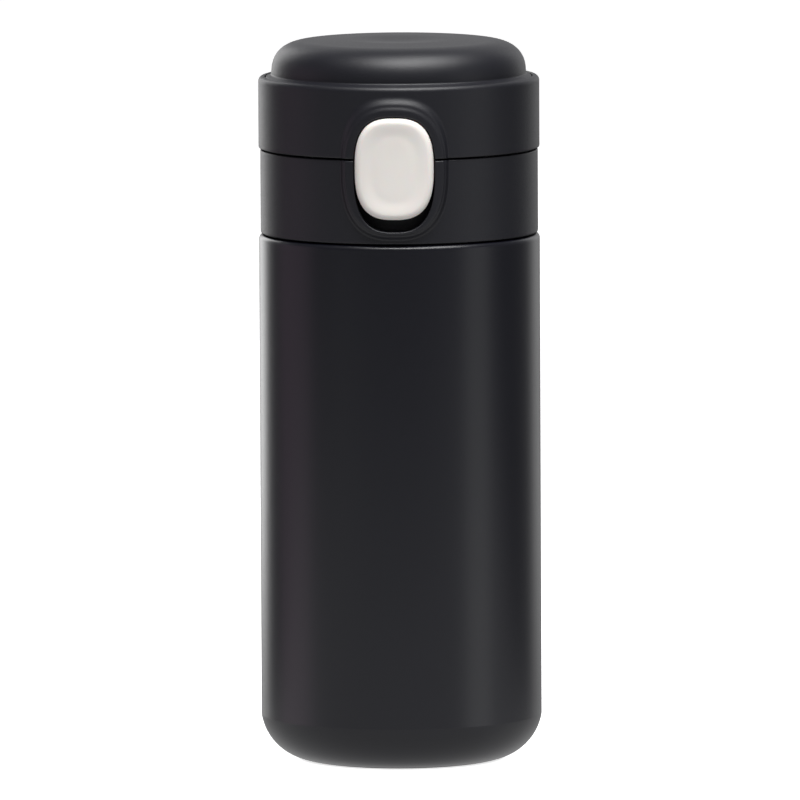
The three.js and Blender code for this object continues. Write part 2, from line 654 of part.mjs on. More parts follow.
function lidLiner() {
  const top = LINER_Z + LINER_THICK;
  const disc = turned([
    [LINER_HOLE_R, LINER_Z], [LINER_CUP_R, LINER_Z], [LINER_CUP_R, LINER_CUP_Z],
    [LINER_CUP_R + 1.2, LINER_CUP_Z], [LINER_CUP_R + 1.2, LINER_Z], [LINER_R, LINER_Z],
    [LINER_R, top], [LINER_HOLE_R, top],
  ]);
  const half = WINDOW.halfWidth + LID_POCKET_WALL + GAP;
  const backY = LID_POCKET_FLOOR_Y + LID_POCKET_WALL + GAP;
  return solid(disc).subtract(solid(box(-half, -LARGE, 0, half, backY, LARGE * 4)));
}

function stopper() {
  const [flangeZ, flangeTop] = [SPOUT_TOP_Z + GAP, LINER_Z - 0.2];
  const stemR = LINER_HOLE_R - GAP;
  const barbZ = LINER_Z + LINER_THICK + GAP;
  return turned([
    [0, STOPPER_PLUG_Z], [SPOUT_BORE_R - 1.4, STOPPER_PLUG_Z], [SPOUT_BORE_R - 0.6, flangeZ],
    [STOPPER_R, flangeZ], [STOPPER_R, flangeTop], [stemR, flangeTop], [stemR, barbZ],
    [stemR + 1, barbZ], [stemR + 0.3, barbZ + 2], [0, barbZ + 2],
  ]);
}

// ---------------------------------------------------------------- assembly

const flask = new THREE.Group();
flask.add(
  piece("outer_shell", outerShell(), powderCoat()),
  piece("outer_bottom", outerBottom(), powderCoat()),
  piece("base_disc", baseDisc(), steel()),
  piece("vacuum_seal_bead", sealBead(), sealGlass()),
  piece("inner_bottle", innerBottle(), steel()),
  piece("heat_foil", heatFoil(), foilMetal()),
  piece("getter_pellet", getterPellet(), steel()),
  piece("getter_clip", getterClip(), steel()),
  piece("bottle_seal", bottleSeal(), silicone()),
  piece("collar", collar(), blackPlastic()),
  piece("spout", spout(), innerPlastic()),
  piece("latch_pin", latchPin(), steel()),
  piece("button_spring", buttonSpring(), steel()),
  piece("hinge_pin", hingePin(), steel()),
  piece("hinge_spring", hingeSpring(), steel()),
  piece("button", button(), offWhite()),
  piece("latch_lever", latchLever(), blackPlastic()),
  piece("lid_ring", lidRing(), blackPlastic()),
  piece("lid_dome", lidDome(), blackPlastic()),
  piece("lid_liner", lidLiner(), innerPlastic()),
  piece("stopper", stopper(), silicone()),
);

export default flask;
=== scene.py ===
# Vacuum flask: the finished surfaces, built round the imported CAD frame.
# Sizes in this file are millimetres, turned into metres where a mesh is made. The button faces -Y.

import json
import math

import bmesh
import bpy
from mathutils import Matrix, Vector

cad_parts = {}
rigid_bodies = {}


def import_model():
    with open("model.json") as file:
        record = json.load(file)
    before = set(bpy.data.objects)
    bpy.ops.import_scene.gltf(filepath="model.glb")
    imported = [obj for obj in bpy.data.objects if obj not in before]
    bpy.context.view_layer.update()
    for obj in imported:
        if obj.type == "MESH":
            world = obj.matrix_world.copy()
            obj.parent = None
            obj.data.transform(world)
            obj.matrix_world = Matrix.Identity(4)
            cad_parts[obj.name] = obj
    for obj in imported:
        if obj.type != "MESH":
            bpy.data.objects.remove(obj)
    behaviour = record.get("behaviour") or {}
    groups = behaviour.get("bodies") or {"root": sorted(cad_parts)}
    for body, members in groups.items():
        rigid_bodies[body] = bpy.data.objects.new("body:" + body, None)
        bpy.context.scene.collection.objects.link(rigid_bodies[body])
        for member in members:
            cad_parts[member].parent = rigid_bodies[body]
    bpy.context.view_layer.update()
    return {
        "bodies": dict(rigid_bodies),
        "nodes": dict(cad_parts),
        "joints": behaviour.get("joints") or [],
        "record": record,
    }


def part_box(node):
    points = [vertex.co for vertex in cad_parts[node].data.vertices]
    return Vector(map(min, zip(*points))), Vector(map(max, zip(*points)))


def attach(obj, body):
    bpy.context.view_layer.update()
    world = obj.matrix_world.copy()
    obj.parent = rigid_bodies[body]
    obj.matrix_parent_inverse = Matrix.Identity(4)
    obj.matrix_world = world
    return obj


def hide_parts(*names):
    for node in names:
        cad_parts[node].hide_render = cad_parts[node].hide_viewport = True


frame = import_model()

MM = 0.001
SEGMENTS = 192  # facets round a turned piece


def node_box(node):
    """Lowest and highest corner of a CAD node, in millimetres."""
    low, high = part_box(node)
    return low / MM, high / MM


# ------------------------------------------------------------------ sizes

SHELL_LOW, SHELL_HIGH = node_box("outer_shell")
COLLAR_LOW, COLLAR_HIGH = node_box("collar")
RING_LOW, RING_HIGH = node_box("lid_ring")
DOME_LOW, DOME_HIGH = node_box("lid_dome")
SPOUT_LOW, SPOUT_HIGH = node_box("spout")
BUTTON_LOW, BUTTON_HIGH = node_box("button")

BODY_R = SHELL_HIGH.x
SHOULDER_Z = 124.1
NECK_R = 26.0
NECK_TOP = SHELL_HIGH.z
STEEL = 0.7
CORNER_R = 12.4
CORNER_TOP = 10.6
FOOT_R = 20.74
RECESS_R = 16.4

COLLAR_R = COLLAR_HIGH.x
COLLAR_TOP = 144.0
COLLAR_WALL = 2.0
COLLAR_BOTTOM = COLLAR_LOW.z
DECK_Z = 139.6
DECK_UNDER = 137.6
DECK_HOLE_R = 22.3
SLEEVE_R = 28.9
SLEEVE_BOTTOM = 125
BORE_R = 27.4

RING_R = RING_HIGH.x
RING_IN_R = 30.8
RING_BOTTOM = RING_LOW.z
RING_TOP = RING_HIGH.z
GROOVE_R = 31.45
GROOVE_Z = 160.2
SEAT_R = 30.2
SEAT_Z = 158.2

DOME_LIP_R = DOME_HIGH.x
DOME_LIP = 160.35
DOME_R = 29.9
DOME_SKIRT = DOME_LOW.z
DOME_BASE = 161.9
DOME_EDGE_R = 21.15
DOME_EDGE_Z = 169.48
DOME_SQUARENESS = 2.38
CROWN_RISE = 0.03
DISH_R = 12.5
DISH_DEPTH = 0.55
DOME_WALL = 1.8

# Ovals seen from the front: half width, half height, squareness and height of the middle
WINDOW = (9.5, 12.3, 2.75, 142.0)
COLLAR_WINDOW = (9.5, 14.6, 2.75, 142.0)
# The frame's flat band, first step and foot
RING_FRAME = ((11.4, 13.5, 2.4, 142.17), (12.0, 14.85, 2.55, 142.17), (12.9, 17.5, 2.75, 142.17))
COLLAR_FRAME = ((11.4, 15.2, 2.6, 142.17), (12.0, 15.8, 2.65, 142.17), (12.9, 17.2, 2.75, 142.17))
FRAME_EDGE = 0.3
FRAME_STEP_SHARE = 0.68  # height of the first step in the frame's height
FRAME_R = 34.25

PITCH = 4.0
THREAD_TURNS = 1.25
THREAD_Z = 128.2

LATCH_Y, LATCH_Z = -29.6, 142.0
HINGE_Y, HINGE_Z = 33.2, 146.6
HINGE_BACK_Y = HINGE_Y + 1.4
KNUCKLE_R = 2.2
PIN_HOLE_R = 1.55
COLLAR_EAR = (7.2, 9.8)  # from its inner face to its outer face, out from the middle
RING_EAR = (4.6, 6.9)
EAR_BEVEL = 0.3
LATCH_CHEEK = (8.9, 11.9)
LEVER_ARM = (3.4, 7.6)
LEVER_FRONT, LEVER_BACK = -31.5, -30.3


# ------------------------------------------------------------------ shapes: (vertices, faces)


def rounded(corners, closed=True):
    """Outline of (r, z, fillet) corners, with every fillet drawn as an arc."""
    points = []
    count = len(corners)
    for i, (r, z, fillet) in enumerate(corners):
        here = Vector((r, z))
        if fillet == 0 or (not closed and i in (0, count - 1)):
            points.append((r, z))
            continue
        before = (Vector(corners[i - 1][:2]) - here).normalized()
        after = (Vector(corners[(i + 1) % count][:2]) - here).normalized()
        half = before.angle(after) / 2
        centre = here + (before + after).normalized() * fillet / math.sin(half)
        first = here + before * fillet / math.tan(half) - centre
        last = here + after * fillet / math.tan(half) - centre
        turn = math.atan2(first.x * last.y - first.y * last.x, first.dot(last))
        steps = max(3, math.ceil(abs(math.degrees(turn)) / (3 if fillet > 3 else 12)))
        for k in range(steps + 1):
            spoke = Matrix.Rotation(turn * k / steps, 2) @ first
            points.append(tuple(centre + spoke))
    return points


def on_circle(radius, angle, z):
    """Point at an angle round the axis, counted from the front."""
    return (radius * math.sin(angle), -radius * math.cos(angle), z)


def grid(rows, wrap=False):
    """Quads between neighbouring rows of points."""
    width = len(rows[0])
    vertices = [point for row in rows for point in row]
    span = width if wrap else width - 1
    faces = []
    for i in range(len(rows) - 1):
        for j in range(span):
            k = (j + 1) % width
            faces.append((i * width + j, i * width + k, (i + 1) * width + k, (i + 1) * width + j))
    return vertices, faces


def turned(outline, closed=True, low_deg=0.0, high_deg=360.0, segments=SEGMENTS):
    """Solid of revolution of an outline, or the part of it between two angles from the front."""
    full = high_deg - low_deg >= 360
    count = segments if full else segments + 1
    angles = [math.radians(low_deg + (high_deg - low_deg) * i / segments) for i in range(count)]
    rows = [[on_circle(r, a, z) for a in angles] for r, z in outline]
    if closed:
        rows.append(rows[0])
    vertices, faces = grid(rows, wrap=full)
    if not full:
        width = len(angles)
        faces.append(tuple(i * width for i in range(len(outline))))
        faces.append(tuple(i * width + width - 1 for i in range(len(outline))))
    return vertices, faces


def block(x0, y0, z0, x1, y1, z1):
    """Box between two corners."""
    vertices = [(x, y, z) for x in (x0, x1) for y in (y0, y1) for z in (z0, z1)]
    faces = [(0, 1, 3, 2), (4, 6, 7, 5), (0, 4, 5, 1), (2, 3, 7, 6), (0, 2, 6, 4), (1, 5, 7, 3)]
    return vertices, faces


def prism_x(outline, x0, x1):
    """Prism of a (y, z) outline along X."""
    count = len(outline)
    vertices = [(x, y, z) for x in (x0, x1) for y, z in outline]
    faces = [(i, (i + 1) % count, count + (i + 1) % count, count + i) for i in range(count)]
    faces += [tuple(range(count)), tuple(range(count, 2 * count))]
    return vertices, faces


def bar_x(y, z, radius, x0, x1, sides=32):
    """Round bar along X."""
    turn = [2 * math.pi * i / sides for i in range(sides)]
    return prism_x([(y + radius * math.cos(a), z + radius * math.sin(a)) for a in turn], x0, x1)


def hinge_ear(corners, x0, x1, sides=72):
    """Plate round the hinge pin: the hull of its knuckle and the corners of its web, with a pin hole."""
    centre = Vector((HINGE_Y, HINGE_Z))
    web = [Vector(corner) - centre for corner in corners]
    outer, inner = [], []
    for i in range(sides):
        ray = Vector((math.cos(2 * math.pi * i / sides), math.sin(2 * math.pi * i / sides)))
        reach = KNUCKLE_R
        for first in web:
            for second in web + [first.normalized() * KNUCKLE_R]:
                reach = max(reach, ray_to_segment(ray, first, second))
            for tangent in tangent_points(first, KNUCKLE_R):
                reach = max(reach, ray_to_segment(ray, first, tangent))
        outer.append(centre + ray * reach)
        inner.append(centre + ray * PIN_HOLE_R)
    rows = [
        [(x0, *p) for p in inner], [(x0, *p) for p in outer],
        [(x1, *p) for p in outer], [(x1, *p) for p in inner],
    ]
    rows.append(rows[0])
    return grid(rows, wrap=True)


def ear_pair(corners, reach):
    """The same ear on both sides of the middle."""
    return [hinge_ear(corners, *sorted((side * reach[0], side * reach[1]))) for side in (-1, 1)]


def ray_to_segment(ray, first, second):
    """How far along a ray from the origin it meets a segment, or 0."""
    edge = second - first
    det = ray.x * edge.y - ray.y * edge.x
    if abs(det) < 1e-9:
        return 0
    along = (first.x * edge.y - first.y * edge.x) / det
    across = (first.x * ray.y - first.y * ray.x) / det
    return along if along > 0 and -1e-6 <= across <= 1 + 1e-6 else 0


def tangent_points(point, radius):
    """Where the two tangents from a point touch a circle about the origin."""
    distance = point.length
    if distance <= radius:
        return []
    lean = math.acos(radius / distance)
    return [Matrix.Rotation(side * lean, 2) @ point.normalized() * radius for side in (-1, 1)]


def swept(points, radius, sides=12):
    """Round wire through points."""
    path = [Vector(p) for p in points]
    normal = (path[1] - path[0]).orthogonal().normalized()
    rows = []
    for i, here in enumerate(path):
        ahead = (path[min(i + 1, len(path) - 1)] - path[max(i - 1, 0)]).normalized()
        normal = (normal - ahead * normal.dot(ahead)).normalized()
        side = ahead.cross(normal)
        rows.append([
            tuple(here + radius * (normal * math.cos(a) + side * math.sin(a)))
            for a in (2 * math.pi * k / sides for k in range(sides))
        ])
    vertices, faces = grid(rows, wrap=True)
    faces.append(tuple(range(sides)))
    faces.append(tuple(range(len(vertices) - sides, len(vertices))))
    return vertices, faces


def thread_ridge(radius, start_z, height, half_width, sink, steps=150, sides=12):
    """Rounded ridge that winds round a wall as a right-hand thread and fades out at both ends.
    A negative height makes an inside thread."""
    rows = []
    for i in range(steps + 1):
        share = i / steps
        fade = min(1, 6 * share, 6 * (1 - share))
        size = math.sin(fade * math.pi / 2) * 0.98 + 0.02
        angle = share * THREAD_TURNS * 2 * math.pi
        middle_z = start_z + share * THREAD_TURNS * PITCH
        row = []
        for k in range(sides):
            spin = 2 * math.pi * k / sides
            out = math.cos(spin)
            r = radius + out * (height * size if out > 0 else math.copysign(sink, height))
            z = middle_z + math.sin(spin) * half_width * size
            row.append((r * math.cos(angle), r * math.sin(angle), z))
        rows.append(row)
    vertices, faces = grid(rows, wrap=True)
    faces.append(tuple(range(sides)))
    faces.append(tuple(range(len(vertices) - sides, len(vertices))))
    return vertices, faces


# ------------------------------------------------------------------ objects


def build(name, body, slot, nodes, material, *shapes, bevel=0.0, sharp_deg=32):
    """Makes one object from shapes, gives it its body and its material, and hides the CAD nodes it stands
    for. The slot is not used.
    """
    mesh = bpy.data.meshes.new(name)
    vertices, faces = [], []
    for shape_vertices, shape_faces in shapes:
        base = len(vertices)
        vertices += [tuple(c * MM for c in v) for v in shape_vertices]
        faces += [tuple(base + i for i in face) for face in shape_faces]
    mesh.from_pydata(vertices, [], faces)
    work = bmesh.new()
    work.from_mesh(mesh)
    bmesh.ops.remove_doubles(work, verts=work.verts, dist=0.0005 * MM)
    bmesh.ops.dissolve_degenerate(work, edges=work.edges, dist=0.0005 * MM)
    bmesh.ops.recalc_face_normals(work, faces=work.faces)
    work.to_mesh(mesh)
    work.free()
    for polygon in mesh.polygons:
        polygon.use_smooth = True
    mesh.set_sharp_from_angle(angle=math.radians(sharp_deg))
    piece = bpy.data.objects.new(name, mesh)
    bpy.context.scene.collection.objects.link(piece)
    mesh.materials.append(material)
    if bevel:
        rounding = piece.modifiers.new("bevel", "BEVEL")
        rounding.width = bevel * MM
        rounding.segments = 3
        rounding.limit_method = "ANGLE"
        rounding.angle_limit = math.radians(30)
        rounding.harden_normals = False
    normals = piece.modifiers.new("normals", "WEIGHTED_NORMAL")
    normals.keep_sharp = True
    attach(piece, body)
    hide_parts(*nodes)
    return piece


# ------------------------------------------------------------------ materials


class Nodes:
    """Short way to write a material's node tree."""

    def __init__(self, name):
        self.material = bpy.data.materials.new(name)
        self.material.use_nodes = True
        self.tree = self.material.node_tree
        self.shader = self.tree.nodes["Principled BSDF"]
        self.coordinates = self.tree.nodes.new("ShaderNodeTexCoord")

    def add(self, kind, **inputs):
        node = self.tree.nodes.new(kind)
        for key, value in inputs.items():
            self.set(node, key.replace("_", " "), value)
        return node

    def set(self, node, key, value):
        if isinstance(value, bpy.types.NodeSocket):
            self.tree.links.new(value, node.inputs[key])
        else:
            node.inputs[key].default_value = value

    def noise(self, scale, detail=3.0, rough=0.5, stretch=(1, 1, 1)):
        mapping = self.add("ShaderNodeMapping", Vector=self.coordinates.outputs["Object"])
        mapping.inputs["Scale"].default_value = stretch
        texture = self.add("ShaderNodeTexNoise", Vector=mapping.outputs["Vector"])
        texture.inputs["Scale"].default_value = scale
        texture.inputs["Detail"].default_value = detail
        texture.inputs["Roughness"].default_value = rough
        return texture.outputs["Fac"]

    def ramp(self, factor, low, high, start=0.3, end=0.7):
        """Maps a noise factor to a value between low and high."""
        node = self.add("ShaderNodeMapRange", Value=factor)
        for key, value in (("From Min", start), ("From Max", end), ("To Min", low), ("To Max", high)):
            node.inputs[key].default_value = value
        return node.outputs["Result"]

    def tint(self, factor, dark, light):
        node = self.tree.nodes.new("ShaderNodeMix")
        node.data_type = "RGBA"
        self.tree.links.new(factor, node.inputs["Factor"])
        node.inputs["A"].default_value = (*dark, 1)
        node.inputs["B"].default_value = (*light, 1)
        return node.outputs["Result"]

    def bump(self, height, distance, strength=1.0, normal=None):
        node = self.add("ShaderNodeBump", Height=height)
        node.inputs["Distance"].default_value = distance * MM
        node.inputs["Strength"].default_value = strength
        if normal is not None:
            self.tree.links.new(normal, node.inputs["Normal"])
        return node.outputs["Normal"]

    def finish(self, **inputs):
        for key, value in inputs.items():
            self.set(self.shader, key.replace("_", " "), value)
        return self.material


def powder_coat():
    """Smooth matte black paint with the faint orange peel of a baked powder."""
    m = Nodes("powder_coat")
    grain = m.noise(3800, detail=2)
    peel = m.noise(700, detail=2)
    cloud = m.noise(55, detail=3)
    normal = m.bump(peel, 0.012, 0.5, m.bump(grain, 0.006, 0.6))
    return m.finish(
        Base_Color=m.tint(cloud, (0.0020, 0.0022, 0.0060), (0.0034, 0.0036, 0.0078)),
        Roughness=m.ramp(grain, 0.28, 0.34), Normal=normal, IOR=1.5,
    )


def black_plastic(name="black_plastic", low=0.42, high=0.50, grain_depth=0.03):
    """Moulded black plastic with a fine spark-eroded grain."""
    m = Nodes(name)
    grain = m.noise(2600, detail=4, rough=0.6)
    cloud = m.noise(70, detail=2)
    normal = m.bump(grain, grain_depth, 0.8)
    return m.finish(
        Base_Color=m.tint(cloud, (0.0036, 0.0038, 0.0076), (0.0056, 0.0058, 0.0100)),
        Roughness=m.ramp(grain, low, high), Normal=normal, IOR=1.49,
    )


def white_plastic():
    """Warm white plastic, satin."""
    m = Nodes("white_plastic")
    grain = m.noise(2200, detail=3)
    cloud = m.noise(120, detail=2)
    return m.finish(
        Base_Color=m.tint(cloud, (0.83, 0.79, 0.75), (0.86, 0.825, 0.79)),
        Roughness=m.ramp(grain, 0.34, 0.42), Normal=m.bump(grain, 0.006, 0.5),
        Subsurface_Weight=0.12, Subsurface_Scale=0.0008,
    )


def silicone():
    """Matte translucent silicone rubber."""
    m = Nodes("silicone")
    grain = m.noise(1800, detail=3)
    cloud = m.noise(90, detail=2)
    return m.finish(
        Base_Color=m.tint(cloud, (0.42, 0.43, 0.44), (0.50, 0.51, 0.52)),
        Roughness=m.ramp(grain, 0.52, 0.66), Normal=m.bump(grain, 0.01, 0.6),
        Subsurface_Weight=0.3, Subsurface_Scale=0.0015,
    )


def metal(name, dark, light, low, high, stretch, scale=500, depth=0.004):
    """Metal with drawn or turned marks along one direction."""
    m = Nodes(name)
    marks = m.noise(scale, detail=4, rough=0.65, stretch=stretch)
    return m.finish(
        Base_Color=m.tint(marks, dark, light), Metallic=1.0,
        Roughness=m.ramp(marks, low, high), Normal=m.bump(marks, depth, 0.5),
    )


def getter_metal():
    """Pressed and sintered powder, dark and dull."""
    m = Nodes("getter")
    grain = m.noise(3000, detail=5, rough=0.7)
    return m.finish(
        Base_Color=m.tint(grain, (0.10, 0.10, 0.095), (0.24, 0.23, 0.22)), Metallic=0.7,
        Roughness=m.ramp(grain, 0.6, 0.85), Normal=m.bump(grain, 0.03, 0.9),
    )


def seal_glass():
    """Fused glass bead, amber and glossy."""
    m = Nodes("seal_glass")
    cloud = m.noise(900, detail=3)
    return m.finish(
        Base_Color=m.tint(cloud, (0.20, 0.13, 0.06), (0.34, 0.25, 0.15)),
        Roughness=m.ramp(cloud, 0.08, 0.22), Normal=m.bump(cloud, 0.02, 0.4),
    )


PAINT = powder_coat()
BLACK = black_plastic()
INNER_BLACK = black_plastic("inner_plastic", 0.34, 0.44, 0.012)
WHITE = white_plastic()
SILICONE = silicone()
INNER_STEEL = metal("inner_steel", (0.56, 0.56, 0.57), (0.68, 0.68, 0.69), 0.24, 0.36, (1, 1, 14), 160)
PIN_STEEL = metal("polished_steel", (0.55, 0.55, 0.56), (0.66, 0.66, 0.67), 0.16, 0.28, (8, 1, 1), 300)
WIRE_STEEL = metal("spring_steel", (0.42, 0.42, 0.43), (0.56, 0.56, 0.57), 0.2, 0.34, (1, 1, 1), 900)
DISC_STEEL = metal("base_steel", (0.55, 0.55, 0.56), (0.66, 0.66, 0.67), 0.25, 0.4, (1, 12, 1), 220)
FOIL = metal("foil", (0.74, 0.74, 0.75), (0.86, 0.86, 0.87), 0.12, 0.3, (1, 1, 1), 140, 0.2)


# ------------------------------------------------------------------ window in the lid ring and the collar


def oval_point(shape, angle):
    """Point of an oval (half width, half height, squareness, middle height) at an angle from its side."""
    half, rise, squareness, middle = shape
    sine, cosine = math.sin(angle), max(0.0, math.cos(angle))
    climb = math.copysign(abs(sine) ** (2 / squareness), sine)
    return half * cosine ** (2 / squareness), middle + rise * climb


def oval_angle(shape, z):
    """Angle at which an oval reaches a height."""
    _, rise, squareness, middle = shape
    climb = (z - middle) / rise
    return math.asin(math.copysign(abs(climb) ** (squareness / 2), climb))


def between(first, second, share):
    return tuple(a + (b - a) * share for a, b in zip(first, second))


def grown(shape, margin):
    """Oval that is larger by a margin all round."""
    half, rise, squareness, middle = shape
    return half + margin, rise + margin, squareness, middle


def frame_rows(window, frame, height):
    """Ovals from the window to the frame's foot, each with its height over the wall."""
    flat, step, foot = frame
    rows = []
    for i in range(6):
        beta = math.pi / 2 * i / 5
        rows.append((grown(window, FRAME_EDGE * (1 - math.cos(beta))),
                     height - FRAME_EDGE * (1 - math.sin(beta))))
    edge = rows[-1][0]
    rows += [(between(edge, flat, share), height) for share in (0.5, 1.0)]
    step_height = height * FRAME_STEP_SHARE
    for i in range(1, 6):
        fall = (1 - math.cos(math.pi * i / 5)) / 2
        rows.append((between(flat, step, i / 5), height + (step_height - height) * fall))
    for i in range(1, 11):
        fall = (1 - math.cos(math.pi * min(1, i / 8) ** 0.8)) / 2
        rows.append((between(step, foot, i / 10), step_height * (1 - fall)))
    return rows


SEAM_ROUND = 0.35
SEAM_LEVELS = [0, 0.04, 0.1, 0.2, SEAM_ROUND]
WALL_LEVELS = 16
APEX_STEPS = 22
PATCH_ANGLE = math.radians(40)  # half of the front patch that holds the window
PATCH_ROWS = 10
BACK_FACETS = 150
NOTCH_CLEAR = 0.008  # a facet's edge this near to a side of the notch gives way to it, in radians
EVEN_HEIGHT = 5.0  # up to here the inner wall's levels are as high as the outer wall's


class WindowedRing:
    """Closed ring whose front has half of the button's window and its raised frame.

    The window opens at the seam, and heights are counted from the seam, up or down. far_corners is the
    outline of the ring's far edge, from the outer wall to the inner wall. notch is the half angle and
    height of an opening at the back, and inner_top the height of the inner wall if it's lower."""

    def __init__(self, seam_z, up, outer_r, inner_r, far_corners, notch=(0, 0), inner_top=None):
        self.seam_z, self.up = seam_z, up
        self.outer_r, self.inner_r = outer_r, inner_r
        self.far_corners = far_corners
        self.top = far_corners[0][1]
        self.inner_top = inner_top or self.top
        self.notch_angle, self.notch_top = notch
        wall = {SEAM_ROUND + (self.top - SEAM_ROUND) * (i + 1) / WALL_LEVELS for i in range(WALL_LEVELS)}
        if self.notch_top:
            wall.add(self.notch_top)
        self.levels = SEAM_LEVELS + sorted(wall)
        self.side_steps = len(wall)
        self.steps = self.side_steps + APEX_STEPS

    def seam_inset(self, t):
        """How far the rounded edge at the seam draws the outer wall in."""
        if t >= SEAM_ROUND:
            return 0
        return SEAM_ROUND - math.sqrt(max(0, SEAM_ROUND**2 - (SEAM_ROUND - t) ** 2))

    def inner_level(self, t):
        """Height on the inner wall that belongs to a height on the outer wall."""
        if t <= EVEN_HEIGHT:
            return t
        return EVEN_HEIGHT + (t - EVEN_HEIGHT) * (self.inner_top - EVEN_HEIGHT) / (self.top - EVEN_HEIGHT)

    def front_point(self, x, t, radius):
        """Point of a wall in the front patch, counted sideways."""
        return (x, -math.sqrt(radius**2 - x**2), self.seam_z + self.up * t)

    def back_points(self, angle, t):
        """Points of the outer wall and the inner wall at an angle."""
        return (on_circle(self.outer_r - self.seam_inset(t), angle, self.seam_z + self.up * t),
                on_circle(self.inner_r, angle, self.seam_z + self.up * self.inner_level(t)))

    def on_oval(self, shape, kind, value):
        """Place of a station on an oval."""
        half, rise, squareness, middle = shape
        seen = (half, rise, squareness, self.up * (middle - self.seam_z))
        if kind == "level":
            return oval_point(seen, oval_angle(seen, value))
        start = oval_angle(seen, SEAM_ROUND)
        return oval_point(seen, start + (math.pi / 2 - start) * value / self.steps)

    def on_border(self, kind, value):
        """Place of a station on the patch's border: up its side, then along its top to the middle."""
        half_patch = self.outer_r * math.sin(PATCH_ANGLE)
        if kind == "level":
            return half_patch, value
        if value <= self.side_steps:
            return half_patch, self.levels[len(SEAM_LEVELS) + value - 1]
        return half_patch * (self.steps - value) / APEX_STEPS, self.top

    def front_rows(self, window, frame):
        """Rows of the outer wall and the inner wall, from the window to the patch's border."""
        # Stations run up one side of the window, at fixed heights near the seam, and round to its apex.
        stations = [("level", t) for t in SEAM_LEVELS] + [("turn", i + 1) for i in range(self.steps)]
        both = [(1, s) for s in stations] + [(-1, s) for s in reversed(stations[:-1])]
        rows = [(shape, lift, 0.0) for shape, lift in frame_rows(window, frame, FRAME_R - self.outer_r)]
        rows += [(frame[-1], 0.0, (i / PATCH_ROWS) ** 1.2) for i in range(1, PATCH_ROWS + 1)]
        outer, inner = [], []
        for shape, lift, share in rows:
            outer_row, inner_row = [], []
            for side, station in both:
                x, t = between(self.on_oval(shape, *station), self.on_border(*station), share)
                outer_row.append(self.front_point(side * x, t, self.outer_r + lift - self.seam_inset(t)))
                inner_x = x * (1 + (self.inner_r / self.outer_r - 1) * share)
                inner_t = t + (self.inner_level(t) - t) * share
                inner_row.append(self.front_point(side * inner_x, inner_t, self.inner_r))
            outer.append(outer_row)
            inner.append(inner_row)
        return outer, inner

    def notch_sides(self):
        """Angles of the notch's two sides."""
        return [math.pi + side * self.notch_angle for side in (-1, 1)] if self.notch_angle else []

    def back_angles(self):
        """Angles of the facets' edges behind the front patch, with the notch's sides among them."""
        sides = self.notch_sides()
        run = 2 * (math.pi - PATCH_ANGLE)
        spread = [PATCH_ANGLE + run * i / BACK_FACETS for i in range(BACK_FACETS + 1)]
        return sorted([a for a in spread if all(abs(a - side) > NOTCH_CLEAR for side in sides)] + sides)

    def is_open(self, angle, t):
        """Whether the notch is open at an angle and a height."""
        return abs(angle - math.pi) < self.notch_angle and t < self.notch_top

    def back(self, angles):
        """Walls round the back, the seam's edge between them, and the sides of the notch."""
        shapes = []
        for a, b in zip(angles, angles[1:]):
            middle = (a + b) / 2
            for low, high in zip(self.levels, self.levels[1:]):
                if not self.is_open(middle, (low + high) / 2):
                    corners = (a, low), (b, low), (b, high), (a, high)
                    walls = zip(*(self.back_points(*corner) for corner in corners))
                    shapes += [(wall, [(0, 1, 2, 3)]) for wall in walls]
            base = self.notch_top if self.is_open(middle, 0) else 0
            first, second = self.back_points(a, base), self.back_points(b, base)
            shapes.append(([*first, *reversed(second)], [(0, 1, 2, 3)]))
        for angle in self.notch_sides():
            side = [self.back_points(angle, t) for t in self.levels if t <= self.notch_top]
            shapes.append(grid(list(zip(*side))))
        return shapes

    def far_edge(self, angles):
        """Edge away from the seam, right round the ring."""
        loop = sorted({round(angle % (2 * math.pi), 9) for angle in angles})
        outline = rounded(self.far_corners, closed=False)
        rows = [[on_circle(r, a, self.seam_z + self.up * t) for a in loop] for r, t in outline]
        return grid(rows, wrap=True)

    def shapes(self, window, frame):
        """All the shapes of the ring, with its window and the frame round it."""
        outer, inner = self.front_rows(window, frame)
        ends = [grid([[row[end] for row in rows] for rows in (outer, inner)]) for end in (0, -1)]
        corner = len(self.levels) - 1
        border = [math.asin(x / self.outer_r) for x, _, _ in outer[-1][corner:len(outer[-1]) - corner]]
        angles = self.back_angles()
        return [grid(outer), grid(inner), grid([outer[0], inner[0]]), *ends, *self.back(angles),
                self.far_edge(border + angles)]


# ------------------------------------------------------------------ bottle


def outer_shell():
    paint = turned(rounded([
        (BODY_R - STEEL, CORNER_TOP, 0), (BODY_R, CORNER_TOP, 0), (BODY_R, SHOULDER_Z, 1.2),
        (NECK_R + 0.6, SHOULDER_Z, 0.4), (NECK_R + 0.6, SHOULDER_Z - STEEL, 0),
        (BODY_R - STEEL, SHOULDER_Z - STEEL, 0.5),
    ]))
    build("shell_body", "bottle", "powder_coat", ["outer_shell"], PAINT, paint)
    neck = turned(rounded([
        (NECK_R + 1.2, SHOULDER_Z - 0.05, 0), (NECK_R, SHOULDER_Z - 0.05, 1.2), (NECK_R, NECK_TOP, 0.25),
        (NECK_R - STEEL, NECK_TOP, 0.25), (NECK_R - STEEL, SHOULDER_Z - STEEL, 1.6),
        (NECK_R + 1.2, SHOULDER_Z - STEEL, 0),
    ]))
    ridge = thread_ridge(NECK_R, THREAD_Z, 1.0, 1.1, 0.35)
    build("shell_neck", "bottle", "polished_steel", ["outer_shell"], INNER_STEEL, neck, ridge)


